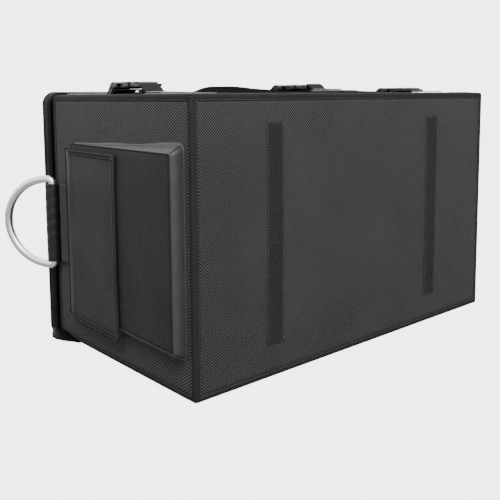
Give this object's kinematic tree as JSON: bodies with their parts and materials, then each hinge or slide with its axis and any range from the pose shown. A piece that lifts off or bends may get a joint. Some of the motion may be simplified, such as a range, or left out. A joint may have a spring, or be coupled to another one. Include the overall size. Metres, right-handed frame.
{
  "type": "lidded fabric storage box bag",
  "caption": "Stiff-walled black woven box bag with a fold-out lid, an end pocket with a flap, metal D handles, buckled straps and hook-and-loop grip strips on its base.",
  "frame": {"origin": "centre of the long back side that the bag stands on, at floor level", "axes": "+X along the length toward the end with no pocket; -Y is the base with the grip strips; +Y is the lid; +Z up, toward the front wall with the straps. In use the bag is turned to stand on its base, with +Y up."},
  "size_m": [0.6284, 0.362, 0.335],
  "materials": {
    "oxford_cloth": "charcoal basket-weave Oxford cloth",
    "smooth_cloth": "black coated plain-weave cloth",
    "lining_cloth": "black lining taffeta",
    "edge_tape": "ribbed grosgrain tape",
    "hook_and_loop": "matt black hook-and-loop",
    "tab_cloth": "charcoal plain cloth",
    "sleeve_leather": "grained black synthetic leather",
    "handle_metal": "satin polished",
    "webbing": "light grey webbing with a reflective band",
    "buckle_plastic": "moulded acetal, slight gloss",
    "stiffener": "hard board"
  },
  "bodies": {
    "bag": {"base_panel": "oxford_cloth", "front_panel": "oxford_cloth", "back_panel": "oxford_cloth", "left_end_panel": "oxford_cloth", "right_end_panel": "oxford_cloth", "base_board": "stiffener", "front_board": "stiffener", "back_board": "stiffener", "left_end_board": "stiffener", "right_end_board": "stiffener", "lining": "lining_cloth", "base_binding": "edge_tape", "rim_binding": "edge_tape", "left_front_edge_binding": "edge_tape", "left_back_edge_binding": "edge_tape", "right_front_edge_binding": "edge_tape", "right_back_edge_binding": "edge_tape", "left_grip_strip": "hook_and_loop", "right_grip_strip": "hook_and_loop", "end_pocket_face": "oxford_cloth", "end_pocket_gusset": "smooth_cloth", "end_pocket_loop_patch": "hook_and_loop", "left_handle_tab": "tab_cloth", "left_handle_sleeve": "sleeve_leather", "right_handle_tab": "tab_cloth", "right_handle_sleeve": "sleeve_leather", "front_pocket": "oxford_cloth", "front_loop_tape": "hook_and_loop", "hinge_band": "smooth_cloth", "left_strap_lower": "webbing", "left_strap_upper": "webbing", "left_buckle_socket": "buckle_plastic", "middle_strap_lower": "webbing", "middle_strap_upper": "webbing", "middle_buckle_socket": "buckle_plastic", "right_strap_lower": "webbing", "right_strap_upper": "webbing", "right_buckle_socket": "buckle_plastic"},
    "lid": {"lid_cover": "smooth_cloth", "lid_board": "stiffener", "lid_lining": "lining_cloth", "lid_skirt": "smooth_cloth", "lid_closure_flap": "smooth_cloth", "lid_hook_tape": "hook_and_loop"},
    "end_flap": {"end_flap": "oxford_cloth", "end_flap_binding": "edge_tape", "end_flap_hook_patch": "hook_and_loop"},
    "left_handle": {"left_handle": "handle_metal"},
    "right_handle": {"right_handle": "handle_metal"},
    "left_tongue": {"left_buckle_tongue": "buckle_plastic", "left_strap_tail": "webbing"},
    "middle_tongue": {"middle_buckle_tongue": "buckle_plastic", "middle_strap_tail": "webbing"},
    "right_tongue": {"right_buckle_tongue": "buckle_plastic", "right_strap_tail": "webbing"}
  },
  "joints": [
    {"name": "lid_hinge", "type": "hinge", "parent": "bag", "child": "lid", "pos_m": [0, 0.17, 0], "axis": [-1, 0, 0], "range_deg": [0, 90]},
    {"name": "end_flap_hinge", "type": "hinge", "parent": "bag", "child": "end_flap", "pos_m": [-0.2713, 0.1147, 0.146], "axis": [0, 0, -1], "range_deg": [0, 105]},
    {"name": "left_handle_swing", "type": "hinge", "parent": "bag", "child": "left_handle", "pos_m": [-0.28, 0.139, 0.1555], "axis": [0, 0, -1], "range_deg": [-135.5, 27]},
    {"name": "right_handle_swing", "type": "hinge", "parent": "bag", "child": "right_handle", "pos_m": [0.28, 0.139, 0.1555], "axis": [0, 0, 1], "range_deg": [-150, 17.5]},
    {"name": "left_buckle_release", "type": "slide", "parent": "bag", "child": "left_tongue", "axis": [0, -1, 0], "range_m": [0, 0.028]},
    {"name": "middle_buckle_release", "type": "slide", "parent": "bag", "child": "middle_tongue", "axis": [0, -1, 0], "range_m": [0, 0.028]},
    {"name": "right_buckle_release", "type": "slide", "parent": "bag", "child": "right_tongue", "axis": [0, -1, 0], "range_m": [0, 0.028]}
  ]
}
